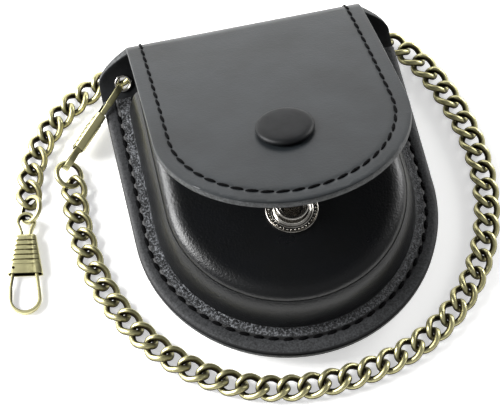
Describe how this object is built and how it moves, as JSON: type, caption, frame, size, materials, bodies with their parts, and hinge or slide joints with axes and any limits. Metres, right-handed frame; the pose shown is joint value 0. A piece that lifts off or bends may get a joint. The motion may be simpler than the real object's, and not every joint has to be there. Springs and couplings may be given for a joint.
{
  "type": "pocket watch belt pouch with chain",
  "caption": "Moulded leather belt pouch for a hunter pocket watch, with a snap flap, a belt loop and a curb chain that has a spring clasp at each end.",
  "frame": {"origin": "on the belt loop's outer face, which the pouch lies on, below the centre of the pouch's round lower end", "axes": "+Z away from the belt, through the pocket and the snap; +Y up the pouch towards the fold; +X to the right, seen from the front"},
  "size_m": [0.1382, 0.1139, 0.0584],
  "materials": {
    "black_leather": "smooth black grain leather",
    "gloss_leather": "moulded black leather with a polished surface",
    "suede_lining": "black suede",
    "black_thread": "waxed black thread",
    "nickel": "polished nickel plate",
    "black_enamel": "black enamel",
    "old_brass": "antique brass plate with darkened recesses",
    "spring_steel": "spring wire"
  },
  "bodies": {
    "pouch": {"back_panel": "black_leather", "back_lining": "suede_lining", "fold_panel": "black_leather", "fold_lining": "suede_lining", "front_shell": "gloss_leather", "body_stitching": "black_thread", "belt_loop": "black_leather", "belt_loop_stitching": "black_thread", "snap_stud": "nickel", "snap_stud_rivet": "nickel", "eyelet": "nickel", "eyelet_washer": "nickel"},
    "flap": {"flap_panel": "black_leather", "flap_lining": "suede_lining", "flap_stitching": "black_thread", "snap_cap": "black_enamel", "snap_cap_rivet": "nickel", "snap_socket": "nickel", "snap_ring_spring": "spring_steel"},
    "clasp_1": {"clasp_1_strip": "old_brass", "clasp_1_barrel": "old_brass", "clasp_1_pin": "old_brass", "clasp_1_spring": "spring_steel"},
    "gate_1": {"clasp_1_gate": "old_brass"},
    "ring_1": {"jump_ring_1": "old_brass"},
    "chain_01": {"chain_links_01": "old_brass"},
    "chain_02": {"chain_links_02": "old_brass"},
    "chain_03": {"chain_links_03": "old_brass"},
    "chain_04": {"chain_links_04": "old_brass"},
    "chain_05": {"chain_links_05": "old_brass"},
    "chain_06": {"chain_links_06": "old_brass"},
    "chain_07": {"chain_links_07": "old_brass"},
    "chain_08": {"chain_links_08": "old_brass"},
    "chain_09": {"chain_links_09": "old_brass"},
    "chain_10": {"chain_links_10": "old_brass"},
    "chain_11": {"chain_links_11": "old_brass"},
    "ring_2": {"jump_ring_2": "old_brass"},
    "clasp_2": {"clasp_2_strip": "old_brass", "clasp_2_barrel": "old_brass", "clasp_2_pin": "old_brass", "clasp_2_spring": "spring_steel"},
    "gate_2": {"clasp_2_gate": "old_brass"}
  },
  "joints": [
    {"name": "flap_fold", "type": "hinge", "parent": "pouch", "child": "flap", "pos_m": [0, 0.0438, 0.0154], "axis": [-1, 0, 0], "range_deg": [-24.7, 85], "deforming": ["fold_panel", "fold_lining"]},
    {"name": "clasp_1_lift", "type": "hinge", "parent": "pouch", "child": "clasp_1", "pos_m": [-0.03875, 0.04567, 0.00701], "axis": [-0.7014, 0.5954, 0.3918], "range_deg": [0, 5]},
    {"name": "clasp_1_gate_turn", "type": "hinge", "parent": "clasp_1", "child": "gate_1", "pos_m": [-0.04389, 0.03851, 0.00869], "axis": [-0.7014, 0.5954, 0.3918], "range_deg": [0, 5], "stiffness_Nm_per_rad": 0.004, "springref_deg": -11.46},
    {"name": "ring_1_level", "type": "hinge", "parent": "clasp_1", "child": "ring_1", "pos_m": [-0.05429, 0.02824, 0.00345], "axis": [-0.7014, 0.5954, 0.3918], "range_deg": [-5, 0]},
    {"name": "chain_01_bend", "type": "hinge", "parent": "ring_1", "child": "chain_01", "pos_m": [-0.05447, 0.02422, 0.00195], "axis": [0, 0, -1], "range_deg": [-6, 4]},
    {"name": "chain_02_bend", "type": "hinge", "parent": "chain_01", "child": "chain_02", "pos_m": [-0.05204, -0.00757, 0.00195], "axis": [0, 0, -1], "range_deg": [-6, 2]},
    {"name": "chain_03_bend", "type": "hinge", "parent": "chain_02", "child": "chain_03", "pos_m": [-0.03522, -0.0348, 0.00195], "axis": [0, 0, -1], "range_deg": [-6, 3]},
    {"name": "chain_04_bend", "type": "hinge", "parent": "chain_03", "child": "chain_04", "pos_m": [-0.00597, -0.04737, 0.00195], "axis": [0, 0, -1], "range_deg": [-6, 4]},
    {"name": "chain_05_bend", "type": "hinge", "parent": "chain_04", "child": "chain_05", "pos_m": [0.02576, -0.04257, 0.00195], "axis": [0, 0, -1], "range_deg": [-3, 4]},
    {"name": "chain_06_bend", "type": "hinge", "parent": "chain_05", "child": "chain_06", "pos_m": [0.04936, -0.02121, 0.00195], "axis": [0, 0, -1], "range_deg": [-1.5, 15]},
    {"name": "chain_07_bend", "type": "hinge", "parent": "chain_06", "child": "chain_07", "pos_m": [0.05667, 0.00993, 0.00195], "axis": [0, 0, -1], "range_deg": [-1, 15]},
    {"name": "chain_08_bend", "type": "hinge", "parent": "chain_07", "child": "chain_08", "pos_m": [0.04872, 0.0411, 0.00195], "axis": [0, 0, -1], "range_deg": [-1.5, 15]},
    {"name": "chain_09_bend", "type": "hinge", "parent": "chain_08", "child": "chain_09", "pos_m": [0.02201, 0.05674, 0.00195], "axis": [0, 0, -1], "range_deg": [-2, 15]},
    {"name": "chain_10_bend", "type": "hinge", "parent": "chain_09", "child": "chain_10", "pos_m": [-0.01031, 0.05903, 0.00195], "axis": [0, 0, -1], "range_deg": [-3, 15]},
    {"name": "chain_11_bend", "type": "hinge", "parent": "chain_10", "child": "chain_11", "pos_m": [-0.04682, 0.0508, 0.00195], "axis": [0, 0, -1], "range_deg": [-6, 15]},
    {"name": "ring_2_bend", "type": "hinge", "parent": "chain_11", "child": "ring_2", "pos_m": [-0.06663, 0.0207, 0.0032], "axis": [0, 0, -1], "range_deg": [-10, 10]},
    {"name": "clasp_2_bend", "type": "hinge", "parent": "ring_2", "child": "clasp_2", "pos_m": [-0.06764, 0.01662, 0.00287], "axis": [0, 0, -1], "range_deg": [-10, 10]},
    {"name": "clasp_2_gate_turn", "type": "hinge", "parent": "clasp_2", "child": "gate_2", "pos_m": [-0.07408, 0.00226, 0.00174], "axis": [-0.0108, -0.0583, 0.9982], "range_deg": [0, 35], "stiffness_Nm_per_rad": 0.004, "springref_deg": -11.46}
  ],
  "couplings": [
    {"joint": "ring_1_level", "follows": "clasp_1_lift", "ratio": -1}
  ]
}
